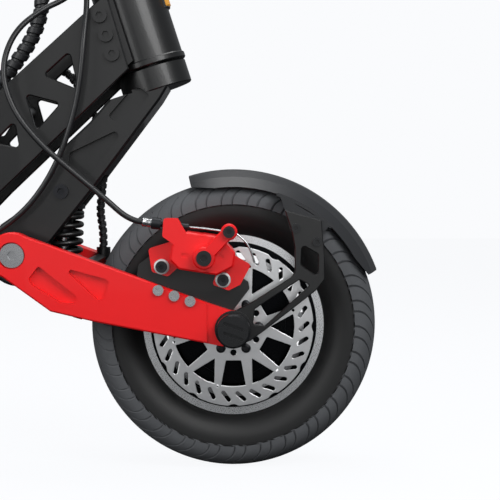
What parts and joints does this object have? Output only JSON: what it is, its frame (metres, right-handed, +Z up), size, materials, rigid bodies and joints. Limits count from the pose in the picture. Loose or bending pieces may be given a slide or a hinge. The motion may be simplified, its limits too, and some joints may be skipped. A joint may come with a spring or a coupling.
{
  "type": "electric kick scooter",
  "caption": "Folding electric kick scooter with swinging-arm suspension, disc brakes, mudguards, trussed neck, deck, folding stem and handlebar.",
  "frame": {"origin": "on the ground at the middle of the outer box", "axes": "+X forward, +Y to the rider's left, +Z up"},
  "size_m": [1.2586, 0.62, 1.1901],
  "materials": {
    "red": "satin powder coat",
    "black": "satin powder coat",
    "alloy": "machined",
    "steel": "machined",
    "dark_steel": "black oxide",
    "tyre": "matt",
    "rubber": "matt",
    "plastic": "matt"
  },
  "bodies": {
    "chassis": {"deck_tray": "black", "deck_lid": "black", "deck_mat": "rubber", "battery_pack": "plastic", "neck_plate_right": "black", "neck_plate_left": "black", "neck_fittings": "black", "head_tube": "black", "rear_block": "black", "kick_plate": "black", "rear_brake_cable": "rubber", "rear_tail_cable": "rubber", "wiring_harness": "rubber"},
    "steering": {"fork_leg": "black", "fork_pins": "steel", "steerer_tube": "steel", "hinge_base": "black", "front_brake_cable": "rubber", "motor_cable": "rubber"},
    "stem": {"stem_tube": "black", "handlebar": "black", "grips": "rubber", "control_clamps": "plastic", "display": "plastic", "headlight": "plastic", "upper_cables": "rubber"},
    "fold_lever_body": {"fold_lever": "black"},
    "left_lever": {"brake_lever_left": "black"},
    "right_lever": {"brake_lever_right": "black"},
    "throttle": {"throttle_lever": "plastic"},
    "horn": {"horn_button": "plastic"},
    "stand": {"kickstand": "black"},
    "front_arm": {"front_arm_right": "red", "front_arm_left": "red", "front_arm_brace": "black", "front_axle": "steel", "front_caliper": "red", "front_caliper_fittings": "dark_steel", "front_mudguard": "plastic", "front_mudguard_brackets": "black"},
    "rear_arm": {"rear_arms": "red", "rear_arm_brace": "black", "rear_axle": "steel", "rear_caliper": "red", "rear_caliper_fittings": "dark_steel", "rear_mudguard": "plastic"},
    "front_wheel": {"front_tyre": "tyre", "front_rim": "alloy", "front_brake_disc": "steel"},
    "front_shock_upper": {"front_shock_body": "dark_steel", "front_shock_spring": "dark_steel"},
    "front_shock_lower": {"front_shock_rod": "steel"},
    "front_brake_arm": {"front_caliper_arm": "dark_steel"},
    "rear_wheel": {"rear_tyre": "tyre", "rear_rim": "alloy", "rear_brake_disc": "steel"},
    "rear_shock_upper": {"rear_shock_body": "dark_steel", "rear_shock_spring": "dark_steel"},
    "rear_shock_lower": {"rear_shock_rod": "steel"},
    "rear_brake_arm": {"rear_caliper_arm": "dark_steel"}
  },
  "joints": [
    {"name": "steering", "type": "hinge", "parent": "chassis", "child": "steering", "pos_m": [0.4293, 0, 0.3449], "axis": [-0.309, 0, 0.9511], "range_deg": [-45, 45], "deforming": ["wiring_harness", "rear_brake_cable", "motor_cable", "front_brake_cable"]},
    {"name": "stem_fold", "type": "hinge", "parent": "steering", "child": "stem", "pos_m": [0.35453, 0, 0.45204], "axis": [0, -1, 0], "range_deg": [0, 78], "deforming": ["upper_cables"]},
    {"name": "fold_lever_turn", "type": "hinge", "parent": "stem", "child": "fold_lever_body", "pos_m": [0.39617, -0.028, 0.47924], "axis": [0, 1, 0], "range_deg": [0, 100]},
    {"name": "brake_left", "type": "hinge", "parent": "stem", "child": "left_lever", "pos_m": [0.20052, 0.148, 1.15905], "axis": [-0.309, 0, 0.9511], "range_deg": [0, 13], "stiffness_Nm_per_rad": 3, "springref_deg": -5.73},
    {"name": "brake_right", "type": "hinge", "parent": "stem", "child": "right_lever", "pos_m": [0.20052, -0.148, 1.15905], "axis": [0.309, 0, -0.9511], "range_deg": [0, 13], "stiffness_Nm_per_rad": 3, "springref_deg": -5.73},
    {"name": "throttle_turn", "type": "hinge", "parent": "stem", "child": "throttle", "pos_m": [0.16818, -0.177, 1.14854], "axis": [0, -1, 0], "range_deg": [0, 35], "stiffness_Nm_per_rad": 0.4, "springref_deg": -17.19},
    {"name": "horn_press", "type": "slide", "parent": "stem", "child": "horn", "axis": [0.309, 0, -0.9511], "range_m": [0, 0.0015], "stiffness_N_per_m": 800, "springref_m": -0.001},
    {"name": "kickstand_fold", "type": "hinge", "parent": "chassis", "child": "stand", "pos_m": [0.06, 0.1243, 0.168], "axis": [0, 1, 0], "range_deg": [0, 80], "stiffness_Nm_per_rad": 1, "springref_deg": -22.92},
    {"name": "front_suspension", "type": "hinge", "parent": "steering", "child": "front_arm", "pos_m": [0.31, 0, 0.1905], "axis": [0, -1, 0], "range_deg": [-4, 10], "stiffness_Nm_per_rad": 600, "springref_deg": -2.01, "deforming": ["front_brake_cable", "motor_cable"]},
    {"name": "front_shock_tilt", "type": "hinge", "parent": "steering", "child": "front_shock_upper", "pos_m": [0.348, 0, 0.2455], "axis": [0, -1, 0], "range_deg": [-1.4, 3.1]},
    {"name": "front_shock_stroke", "type": "slide", "parent": "front_shock_upper", "child": "front_shock_lower", "axis": [0.0375, 0, 0.9993], "range_m": [-0.003, 0.0072], "deforming": ["front_shock_spring"]},
    {"name": "front_wheel_spin", "type": "hinge", "parent": "front_arm", "child": "front_wheel", "pos_m": [0.5, 0, 0.1275], "axis": [0, 1, 0], "continuous": true},
    {"name": "front_caliper_pull", "type": "hinge", "parent": "front_arm", "child": "front_brake_arm", "pos_m": [0.4754, -0.09, 0.1894], "axis": [0, -1, 0], "range_deg": [0, 18.5]},
    {"name": "rear_suspension", "type": "hinge", "parent": "chassis", "child": "rear_arm", "pos_m": [-0.31, 0, 0.1905], "axis": [0, 1, 0], "range_deg": [-4, 10], "stiffness_Nm_per_rad": 600, "springref_deg": -2.01, "deforming": ["rear_tail_cable"]},
    {"name": "rear_shock_tilt", "type": "hinge", "parent": "chassis", "child": "rear_shock_upper", "pos_m": [-0.348, 0, 0.2455], "axis": [0, 1, 0], "range_deg": [-1.4, 3.1]},
    {"name": "rear_shock_stroke", "type": "slide", "parent": "rear_shock_upper", "child": "rear_shock_lower", "axis": [-0.0375, 0, 0.9993], "range_m": [-0.003, 0.0072], "deforming": ["rear_shock_spring"]},
    {"name": "rear_wheel_spin", "type": "hinge", "parent": "rear_arm", "child": "rear_wheel", "pos_m": [-0.5, 0, 0.1275], "axis": [0, 1, 0], "continuous": true},
    {"name": "rear_caliper_pull", "type": "hinge", "parent": "rear_arm", "child": "rear_brake_arm", "pos_m": [-0.4754, -0.09, 0.1894], "axis": [0, 1, 0], "range_deg": [0, 18.5]}
  ],
  "couplings": [
    {"joint": "front_shock_tilt", "follows": "front_suspension", "ratio": 0.278},
    {"joint": "front_shock_stroke", "follows": "front_suspension", "m_per_rad": 0.0373},
    {"joint": "front_caliper_pull", "follows": "brake_left", "ratio": 1.385},
    {"joint": "rear_shock_tilt", "follows": "rear_suspension", "ratio": 0.278},
    {"joint": "rear_shock_stroke", "follows": "rear_suspension", "m_per_rad": 0.0373},
    {"joint": "rear_caliper_pull", "follows": "brake_right", "ratio": 1.385}
  ]
}
